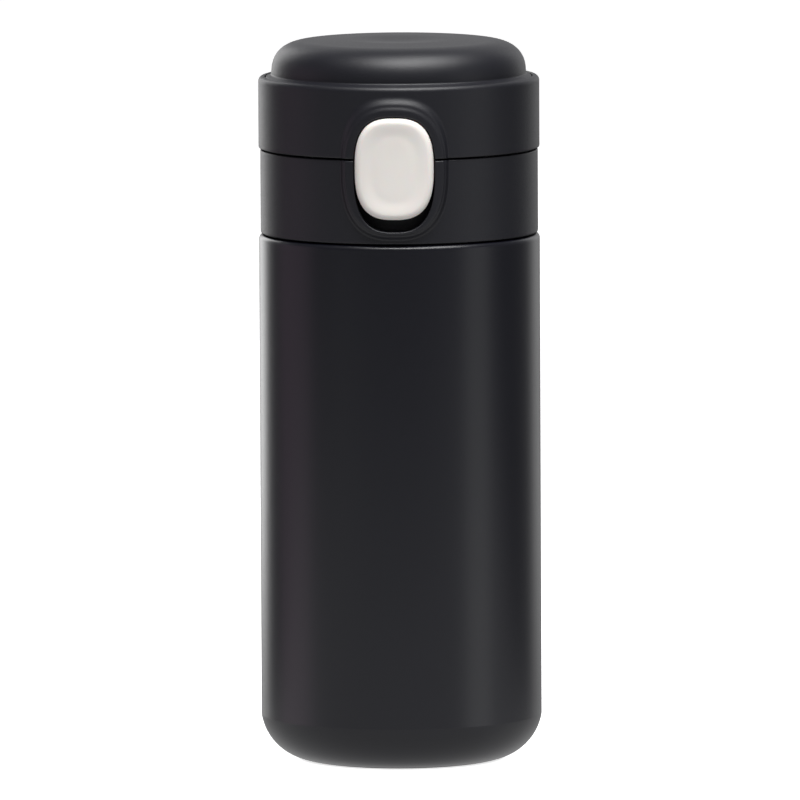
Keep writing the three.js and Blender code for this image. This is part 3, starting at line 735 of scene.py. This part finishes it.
def outer_bottom():
    rim_angle = math.asin((CORNER_TOP - CORNER_R) / CORNER_R)
    steps = 40
    corner = []
    for i in range(steps + 1):
        angle = rim_angle + (-math.pi / 2 - rim_angle) * i / steps
        corner.append((FOOT_R + CORNER_R * math.cos(angle), CORNER_R + CORNER_R * math.sin(angle)))
    inside = CORNER_R - STEEL
    foot = rounded([
        (corner[-1][0], 0, 0), (RECESS_R + 0.25, 0, 0.5), (RECESS_R + 0.25, 2.2, 0.3), (3.2, 2.2, 0.5),
        (2.4, 3.6, 0.3), (0.6, 3.6, 0), (0.6, 4.3, 0), (2.9, 4.3, 0.3), (3.8, 2.9, 0.5),
        (RECESS_R + 0.9, 2.9, 0.3), (RECESS_R + 0.9, STEEL, 0.3), (FOOT_R, STEEL, 0),
    ], closed=False)[1:]
    back = [(FOOT_R + inside * math.cos(a), CORNER_R + inside * math.sin(a)) for a in
            (-math.pi / 2 + (rim_angle + math.pi / 2) * i / 20 for i in range(21))]
    build("bottom_body", "bottle", "powder_coat", ["outer_bottom"], PAINT, turned(corner + foot + back))


def base_disc():
    low, high = node_box("base_disc")
    outline = rounded([
        (0, low.z, 0), (high.x, low.z, 0.2), (high.x, high.z, 0), (0, high.z, 0),
    ], closed=False)
    build("base_cover", "bottle", "polished_steel", ["base_disc"], DISC_STEEL, turned(outline, closed=False))


def inner_bottle():
    outline = rounded([
        (0, 8, 0), (30, 8, 10), (30, 120, 4), (23.8, 120, 2.2), (23.8, 136.2, 0.5), (25, 136.7, 0.2),
        (25, 137, 0.1), (23.9, 137, 0.6), (23.2, 136.2, 0.4), (23.2, 119.4, 2.8), (29.4, 119.4, 3.4),
        (29.4, 8.6, 9.4), (0, 8.6, 0),
    ], closed=False)
    wall = turned(outline, closed=False)
    build("liner_bottle", "bottle", "inner_steel", ["inner_bottle"], INNER_STEEL, wall)


# ------------------------------------------------------------------ lid base


def collar_wall():
    wall_in = COLLAR_R - COLLAR_WALL
    full = COLLAR_TOP - COLLAR_BOTTOM
    ring = WindowedRing(COLLAR_TOP, -1, COLLAR_R, wall_in, [
        (COLLAR_R, full - 0.42, 0), (COLLAR_R, full, 0.4), (wall_in, full, 0.3), (wall_in, full - 0.42, 0),
    ])
    shapes = ring.shapes(COLLAR_WINDOW, COLLAR_FRAME)
    build("collar_wall", "lid_base", "black_plastic", ["collar"], BLACK, *shapes)


def collar_sleeve():
    """Threaded sleeve with its deck, and the web that joins it to the wall."""
    web_z = 136.4
    web_in, web_out = SLEEVE_R - 0.2, COLLAR_R - COLLAR_WALL + 0.3
    sleeve = turned(rounded([
        (SLEEVE_R, DECK_Z, 0.2), (DECK_HOLE_R, DECK_Z, 0.3), (DECK_HOLE_R, DECK_UNDER, 0.2),
        (BORE_R, DECK_UNDER, 0.5), (BORE_R, SLEEVE_BOTTOM, 0.3), (SLEEVE_R, SLEEVE_BOTTOM, 0.3),
    ]))
    web = turned([(web_in, web_z), (web_out, web_z), (web_out, DECK_Z), (web_in, DECK_Z)],
                 low_deg=24, high_deg=336)
    ridge = thread_ridge(BORE_R, THREAD_Z + PITCH / 2, -0.9, 1.0, 0.4)
    build("collar_sleeve", "lid_base", "black_plastic", ["collar"], BLACK, sleeve, web, ridge)


def collar_mounts():
    """Cheeks that hold the latch pin, and the block and ears that hold the hinge pin."""
    near, far = LATCH_CHEEK
    cheeks = [block(side * near, LATCH_Y - 1.5, DECK_Z - 0.4, side * far, LATCH_Y + 1.5, COLLAR_TOP)
              for side in (-1, 1)]
    build("latch_cheeks", "lid_base", "black_plastic", ["collar"], BLACK, *cheeks, bevel=0.3)
    wall_in = COLLAR_R - COLLAR_WALL
    half, top = COLLAR_EAR[1], 142.6
    housing = prism_x([
        (wall_in - 0.4, 136.5), (wall_in + 0.6, 135.5), (HINGE_BACK_Y, 138.5), (HINGE_BACK_Y, top),
        (wall_in - 0.4, top),
    ], -half, half)
    build("hinge_block", "lid_base", "black_plastic", ["collar"], BLACK, housing, bevel=0.6)
    ears = ear_pair([(31.0, top - 1), (HINGE_BACK_Y, top - 1)], COLLAR_EAR)
    build("collar_ears", "lid_base", "black_plastic", ["collar"], BLACK, *ears, bevel=EAR_BEVEL)


def spout():
    low, high = SPOUT_LOW.z, SPOUT_HIGH.z
    outline = rounded([
        (19.8, low, 0.4), (22, low, 0.6), (22, 130.6, 0.15), (20.9, 130.6, 0.15), (20.9, 133.2, 0.15),
        (22, 133.2, 0.15), (22, 136.2, 0.3), (22.5, 136.8, 0.2), (22.5, 137.2, 0.1), (22, 137.3, 0.1),
        (22, 139.9, 0.3), (23.9, 139.9, 0.2), (23.9, 141.4, 0.5), (20.5, 141.9, 1.5), (14.6, 146.5, 3.5),
        (14.3, high, 1.4), (11, high, 1.4), (11, 149.5, 3), (19, 139.6, 3), (19.8, 137.6, 2),
    ])
    build("spout_body", "lid_base", "inner_plastic", ["spout"], INNER_BLACK, turned(outline))


def bottle_seal():
    low, high = node_box("bottle_seal")
    outline = rounded([
        (21.2, low.z, 0.2), (22.3, low.z, 0.1), (high.x, low.z + 0.35, 0.25), (22.45, 131.9, 0.25),
        (high.x, high.z - 0.35, 0.25), (22.3, high.z, 0.1), (21.2, high.z, 0.2),
    ])
    build("seal_ring", "seal", "silicone", ["bottle_seal"], SILICONE, turned(outline))


def coil(y, z, radius, half, turns, start_deg, legs, wire):
    """Torsion spring about a bar along X, with a straight leg at each end."""
    steps = round(turns * 36)
    start = math.radians(start_deg)
    points = []
    for i in range(steps + 1):
        angle = start + i / 36 * 2 * math.pi
        along = -half + 2 * half * i / steps
        points.append((along, y + radius * math.cos(angle), z + radius * math.sin(angle)))
    points = [(-half, *legs[0])] + points + [(half, *legs[1])]
    return swept(points, wire)


def pins_and_springs():
    latch = node_box("latch_pin")[1].x
    hinge = node_box("hinge_pin")[1].x
    pin = bar_x(LATCH_Y, LATCH_Z, 1.0, -latch, latch)
    build("latch_axle", "lid_base", "polished_steel", ["latch_pin"], PIN_STEEL, pin, bevel=0.2)
    pin = bar_x(HINGE_Y, HINGE_Z, 1.25, -hinge, hinge, 48)
    build("hinge_axle", "lid_base", "polished_steel", ["hinge_pin"], PIN_STEEL, pin, bevel=0.25)
    legs = [(HINGE_Y - 4.2, HINGE_Z - 1.85), (HINGE_Y - 4.2, HINGE_Z + 1.85)]
    spring = coil(HINGE_Y, HINGE_Z, 1.95, 2.9, 4.5, -90, legs, 0.35)
    build("hinge_coil", "lid_base", "spring_steel", ["hinge_spring"], WIRE_STEEL, spring)
    legs = [(LATCH_Y + 3.6, LATCH_Z - 1.45), (-29.3, LATCH_Z - 5.5)]
    spring = coil(LATCH_Y, LATCH_Z, 1.55, 1.5, 3, -90, legs, 0.22)
    build("button_coil", "lid_base", "spring_steel", ["button_spring"], WIRE_STEEL, spring)


# ------------------------------------------------------------------ latch


BUTTON_ROUND = 1.3
BUTTON_SWEEP_R = 33.5  # the face follows the lid's curve
BUTTON_DISH = 0.34
DISH_START, DISH_RUN = 1.1, 3.4  # counted in from the outline
FLAT_INSET = 5.6  # from here the rows shrink to the middle


def button_rows():
    """Loops of the button, from its back edge round to the middle of its face."""
    low, high = BUTTON_LOW, BUTTON_HIGH
    middle_z = (high.z + low.z) / 2
    count = 48

    def loop(inset, scale=1.0):
        shape = ((high.x - low.x) / 2 - inset, (high.z - low.z) / 2 - inset, WINDOW[2], 0)
        right = [oval_point(shape, math.pi * (i / count - 0.5)) for i in range(count + 1)]
        left = [(-x, z) for x, z in reversed(right[1:-1])]
        return [(x * scale, middle_z + z * scale) for x, z in right + left]

    def face(inset, sink, scale=1.0):
        return [(x, low.y + 0.75 * (BUTTON_SWEEP_R - math.sqrt(BUTTON_SWEEP_R**2 - x**2)) + sink, z)
                for x, z in loop(inset, scale)]

    def dish(inset):
        share = min(1, max(0, (inset - DISH_START) / DISH_RUN))
        return BUTTON_DISH * (1 - math.cos(math.pi * share)) / 2

    rows = [[(x, high.y - rise, z) for x, z in loop(inset)]
            for inset, rise in ((0.5, 0), (0.05, 0), (0, 0.05))]
    for i in range(9):
        beta = math.pi / 2 * i / 8
        rows.append(face(BUTTON_ROUND * (1 - math.cos(beta)), BUTTON_ROUND * (1 - math.sin(beta))))
    for i in range(1, 19):
        inset = BUTTON_ROUND + (FLAT_INSET - BUTTON_ROUND) * i / 18
        rows.append(face(inset, dish(inset)))
    for i in range(1, 8):
        scale = 1 - i / 8
        rows.append(face(FLAT_INSET, BUTTON_DISH + 0.06 * (1 - scale**2), scale))
    return rows


def button():
    """Pillow-shaped cap with a shallow dish for the thumb."""
    rows = button_rows()
    vertices, faces = grid(rows, wrap=True)
    width = len(rows[0])
    faces.append(tuple(range(width)))
    faces.append(tuple(range(len(vertices) - width, len(vertices))))
    build("button_cap", "latch", "white_plastic", ["button"], WHITE, (vertices, faces), sharp_deg=50)


def latch_lever():
    """Plate behind the button with its hook, and the two arms with the knuckles for the pin."""
    near, far = LEVER_ARM
    gap, knuckle = 2.1, 1.9
    plates = [
        block(-far, LEVER_FRONT, 133, far, LEVER_BACK, LATCH_Z - gap),
        block(-far, LEVER_FRONT, LATCH_Z + gap, far, LEVER_BACK, 152.4),
        block(-4.2, LEVER_FRONT + 0.5, 149.4, 4.2, -29.2, 151.4),
    ]
    for x0, x1 in ((-far, -near), (near, far)):
        plates.append(block(x0, LEVER_FRONT, LATCH_Z - gap - 0.2, x1, LEVER_BACK, LATCH_Z + gap + 0.2))
        plates.append(bar_x(LATCH_Y, LATCH_Z, knuckle, x0, x1))
    build("lever_body", "latch", "black_plastic", ["latch_lever"], BLACK, *plates, bevel=0.2)


# ------------------------------------------------------------------ lid


def lid_ring():
    full = RING_TOP - RING_BOTTOM
    groove, seat = GROOVE_Z - RING_BOTTOM, SEAT_Z - RING_BOTTOM
    far_corners = [
        (RING_R, full - 1.3, 0), (RING_R, full, 1.2), (GROOVE_R, full, 0.2), (GROOVE_R, groove, 0.1),
        (SEAT_R, groove, 0.15), (SEAT_R, seat, 0.1), (RING_IN_R, seat, 0),
    ]
    notch = (math.asin(10.3 / RING_R), 4.4)
    ring = WindowedRing(RING_BOTTOM, 1, RING_R, RING_IN_R, far_corners, notch, inner_top=seat)
    shapes = ring.shapes(WINDOW, RING_FRAME)
    build("ring_wall", "lid", "black_plastic", ["lid_ring"], BLACK, *shapes)
    build("ring_pocket", "lid", "black_plastic", ["lid_ring"], BLACK, *window_pocket())
    ears = ear_pair([(31.2, 152.5), (33.35, 152.5)], RING_EAR)
    build("ring_ears", "lid", "black_plastic", ["lid_ring"], BLACK, *ears, bevel=EAR_BEVEL)


def window_pocket():
    """Pocket behind the lid's half of the window: a wall round it, a floor, and the hook's catch."""
    wall, floor_y, front_y = 1.4, -27.6, -30.2
    near, far = upper_oval(grown(WINDOW, 0.05)), upper_oval(grown(WINDOW, wall))
    loops = [[(x, y, z) for x, z in loop] for loop, y in
             ((near, front_y), (near, floor_y), (far, floor_y), (far, front_y), (near, front_y))]
    vertices, faces = grid(loops)
    width = len(near)
    faces += [tuple(i * width + end for i in range(4)) for end in (0, width - 1)]
    backs = (floor_y, floor_y + wall)
    plate = grid([[(x, y, z) for x, z in far] for y in backs], wrap=True)
    plate[1].extend([tuple(range(width)), tuple(range(width, 2 * width))])
    catch = block(-4.5, -28.9, 147, 4.5, floor_y + 0.2, 149)
    return (vertices, faces), plate, catch


def upper_oval(shape, steps=30):
    """The part of an oval above the seam, from its right end to its left end."""
    start = oval_angle(shape, RING_BOTTOM + 0.2)
    right = [oval_point(shape, start + (math.pi / 2 - start) * i / steps) for i in range(steps + 1)]
    return right + [(-x, z) for x, z in reversed(right[:-1])]


def dome_shoulder(reach, height, steps):
    """Rounded shoulder of the dome, from its foot to where the top begins."""
    power = 2 / DOME_SQUARENESS
    points = []
    for i in range(steps + 1):
        angle = math.pi / 2 * i / steps
        points.append((DOME_EDGE_R + reach * max(0, math.cos(angle)) ** power,
                       DOME_BASE + height * math.sin(angle) ** power))
    return points


def lid_dome():
    reach, height = DOME_R - DOME_EDGE_R, DOME_EDGE_Z - DOME_BASE
    crown = DOME_EDGE_Z + CROWN_RISE * (DOME_EDGE_R - DISH_R)
    outline = rounded([
        (DOME_R - DOME_WALL, DOME_SKIRT, 0.2), (DOME_R, DOME_SKIRT, 0.2), (DOME_R, DOME_LIP, 0),
        (DOME_LIP_R, DOME_LIP, 0.1), (DOME_LIP_R, DOME_LIP + 0.75, 0.3),
        (DOME_R + 0.15, DOME_BASE - 0.35, 0.2), (DOME_R, DOME_BASE - 0.1, 0),
    ], closed=False)
    outline += dome_shoulder(reach, height, 48)
    outline += [between((DOME_EDGE_R, DOME_EDGE_Z), (DISH_R, crown), i / 6) for i in range(1, 6)]
    steps = 24
    for i in range(steps + 1):
        share = 1 - i / steps
        outline.append((DISH_R * share, crown - DISH_DEPTH * (1 + math.cos(math.pi * share)) / 2))
    under = crown - DISH_DEPTH - DOME_WALL
    outline += [(0, under), (DISH_R, under)]
    outline += dome_shoulder(reach - DOME_WALL, height - DOME_WALL, 16)[::-1]
    build("dome_cap", "lid", "black_plastic", ["lid_dome"], BLACK, turned(outline), sharp_deg=45)


def lid_liner():
    low, high = node_box("lid_liner")
    disc_z = 156.2
    cup_in, cup_out, disc_r = 17, 18.2, 25.8
    disc = turned(rounded([
        (3.9, disc_z, 0.2), (cup_in, disc_z, 0.3), (cup_in, low.z, 0.3), (cup_out, low.z, 0.3),
        (cup_out, disc_z, 0.4), (disc_r, disc_z, 0), (disc_r, high.z, 0), (3.9, high.z, 0.2),
    ]))
    flange = turned(rounded([
        (disc_r - 0.2, disc_z, 0), (high.x, disc_z, 0.2), (high.x, high.z, 0.2), (disc_r - 0.2, high.z, 0),
    ]), low_deg=30, high_deg=330)
    build("liner_disc", "lid", "inner_plastic", ["lid_liner"], INNER_BLACK, disc, flange)


def stopper():
    low, high = node_box("stopper")
    plate_r, plate_low, plate_high = 16.5, 153.8, 156
    neck_r, neck_top = 3.6, 158.3
    outline = rounded([
        (0, low.z, 0), (9.6, low.z, 0.6), (10.4, plate_low, 0.3), (plate_r, plate_low, 0.5),
        (plate_r, plate_high, 0.4), (neck_r, plate_high, 0.3), (neck_r, neck_top, 0.1),
        (neck_r + 1, neck_top, 0.2), (neck_r + 0.3, high.z, 0.4), (0, high.z, 0),
    ], closed=False)
    build("stopper_plug", "lid", "silicone", ["stopper"], SILICONE, turned(outline, closed=False))


# ------------------------------------------------------------------ assembly

outer_shell()
outer_bottom()
base_disc()
inner_bottle()
collar_wall()
collar_sleeve()
collar_mounts()
spout()
bottle_seal()
pins_and_springs()
button()
latch_lever()
lid_ring()
lid_dome()
lid_liner()
stopper()

# Sealed pieces keep their CAD shape and get their own finish.
for node, finish in (("heat_foil", FOIL), ("getter_clip", PIN_STEEL), ("getter_pellet", getter_metal()),
                     ("vacuum_seal_bead", seal_glass())):
    slots = frame["nodes"][node].data.materials
    slots.clear()
    slots.append(finish)


# ------------------------------------------------------------------ stage, light and camera


FLOOR_GLOW = 0.78  # a lit table, so that it stays pale from all sides


def sheet(name, reach, z, material):
    """Square sheet over the table, from -reach to reach."""
    mesh = bpy.data.meshes.new(name)
    corners = [(-reach, -reach, z), (reach, -reach, z), (reach, reach, z), (-reach, reach, z)]
    mesh.from_pydata(corners, [], [(0, 1, 2, 3)])
    mesh.materials.append(material)
    obj = bpy.data.objects.new(name, mesh)
    bpy.context.scene.collection.objects.link(obj)
    return obj


def floor():
    """Large pale floor, far wider than the view. The paint mirrors the sheen over it instead."""
    m = Nodes("floor")
    soft = m.noise(3, detail=2)
    ground = sheet("floor", 6.0, 0, m.finish(
        Base_Color=m.tint(soft, (0.78, 0.78, 0.785), (0.80, 0.80, 0.805)), Roughness=0.9,
        Emission_Color=(1, 1, 1, 1), Emission_Strength=FLOOR_GLOW,
    ))
    ground.visible_glossy = False
    ground.visible_diffuse = False


def table_sheen():
    """Light that comes up from the table, strongest in front of the flask."""
    m = Nodes("table_sheen")
    place = m.add("ShaderNodeSeparateXYZ", Vector=m.coordinates.outputs["Object"])
    glow = m.add("ShaderNodeEmission", Strength=m.ramp(place.outputs["Y"], 0.62, 0.06, -0.02, 0.08))
    clear = m.add("ShaderNodeBsdfTransparent")
    both = m.tree.nodes.new("ShaderNodeAddShader")
    m.tree.links.new(glow.outputs[0], both.inputs[0])
    m.tree.links.new(clear.outputs[0], both.inputs[1])
    m.tree.links.new(both.outputs[0], m.tree.nodes["Material Output"].inputs["Surface"])
    sheen = sheet("table_sheen", 0.55, 0.0005, m.material)
    sheen.visible_camera = False
    sheen.visible_shadow = False


CENTRE = Vector((0, 0, 0.085))


def around(azimuth_deg, elevation_deg, distance):
    """Place round the middle of the flask. Azimuth 0 is in front, positive to the right."""
    a, e = math.radians(azimuth_deg), math.radians(elevation_deg)
    return CENTRE + distance * Vector((math.sin(a) * math.cos(e), -math.cos(a) * math.cos(e), math.sin(e)))


def area_light(name, place, width, height, power, aim=CENTRE, colour=(1, 1, 1)):
    """Soft box that the camera doesn't see."""
    data = bpy.data.lights.new(name, "AREA")
    data.color = colour
    data.shape = "RECTANGLE"
    data.size, data.size_y = width, height
    data.energy = power
    light = bpy.data.objects.new(name, data)
    light.visible_camera = False
    light.location = place
    light.rotation_euler = (aim - place).to_track_quat("-Z", "Y").to_euler()
    bpy.context.scene.collection.objects.link(light)


def surroundings(back_strength, front_strength):
    """Studio room: white behind the flask, dim in front of it, and plain white where it is seen directly."""
    world = bpy.data.worlds.new("world")
    bpy.context.scene.world = world
    world.use_nodes = True
    tree = world.node_tree
    background = tree.nodes["Background"]
    place = tree.nodes.new("ShaderNodeTexCoord")
    split = tree.nodes.new("ShaderNodeSeparateXYZ")
    tree.links.new(place.outputs["Generated"], split.inputs["Vector"])
    depth = tree.nodes.new("ShaderNodeMapRange")
    depth.interpolation_type = "SMOOTHSTEP"
    tree.links.new(split.outputs["Y"], depth.inputs["Value"])
    for key, value in (("From Min", 0.6), ("From Max", 0.8), ("To Min", front_strength),
                       ("To Max", back_strength)):
        depth.inputs[key].default_value = value
    horizon = tree.nodes.new("ShaderNodeMapRange")
    tree.links.new(split.outputs["Z"], horizon.inputs["Value"])
    for key, value in (("From Min", -0.25), ("From Max", 0.0), ("To Min", 0.25), ("To Max", 1.0)):
        horizon.inputs[key].default_value = value
    dimmed = tree.nodes.new("ShaderNodeMath")
    dimmed.operation = "MULTIPLY"
    tree.links.new(depth.outputs["Result"], dimmed.inputs[0])
    tree.links.new(horizon.outputs["Result"], dimmed.inputs[1])
    path = tree.nodes.new("ShaderNodeLightPath")
    seen = tree.nodes.new("ShaderNodeMath")
    seen.operation = "MAXIMUM"
    tree.links.new(dimmed.outputs["Value"], seen.inputs[0])
    tree.links.new(path.outputs["Is Camera Ray"], seen.inputs[1])
    tree.links.new(seen.outputs["Value"], background.inputs["Strength"])
    background.inputs["Color"].default_value = (1, 1, 1, 1)


def camera():
    """Long lens from a little above, as a catalogue picture is taken."""
    data = bpy.data.cameras.new("camera")
    view = bpy.data.objects.new("camera", data)
    distance = 4.0
    frame_width = 0.1881
    data.sensor_width = 36
    data.lens = data.sensor_width * distance / frame_width
    data.clip_end = 50
    azimuth, elevation, roll = math.radians(2.0), math.radians(6.03), math.radians(-0.28)
    target = Vector((-0.00005, 0, 0.08458))
    back = Vector((math.sin(azimuth) * math.cos(elevation), -math.cos(azimuth) * math.cos(elevation),
                   math.sin(elevation)))
    aim = back.to_track_quat("Z", "Y").to_matrix()
    view.matrix_world = Matrix.Translation(target + back * distance) @ (
        aim @ Matrix.Rotation(roll, 3, "Z")).to_4x4()
    bpy.context.scene.collection.objects.link(view)
    bpy.context.scene.camera = view


floor()
table_sheen()
surroundings(0.6, 0.18)
area_light("top", around(33, 70, 1.1), 0.9, 0.8, 15.5)
area_light("front", around(0, 62, 1.2), 0.7, 0.4, 5.2)
area_light("strip_right", around(68, 2, 1.2), 0.5, 0.9, 0.95)
area_light("strip_left", around(-94, 2, 1.2), 0.8, 0.9, 0.78, colour=(1, 0.7, 0.92))
area_light("edge_right", around(150, 12, 1.5), 0.6, 1.1, 0.95)
area_light("edge_left", around(-150, 12, 1.5), 0.6, 1.1, 5.2)
camera()
bpy.context.scene.view_settings.view_transform = "Standard"
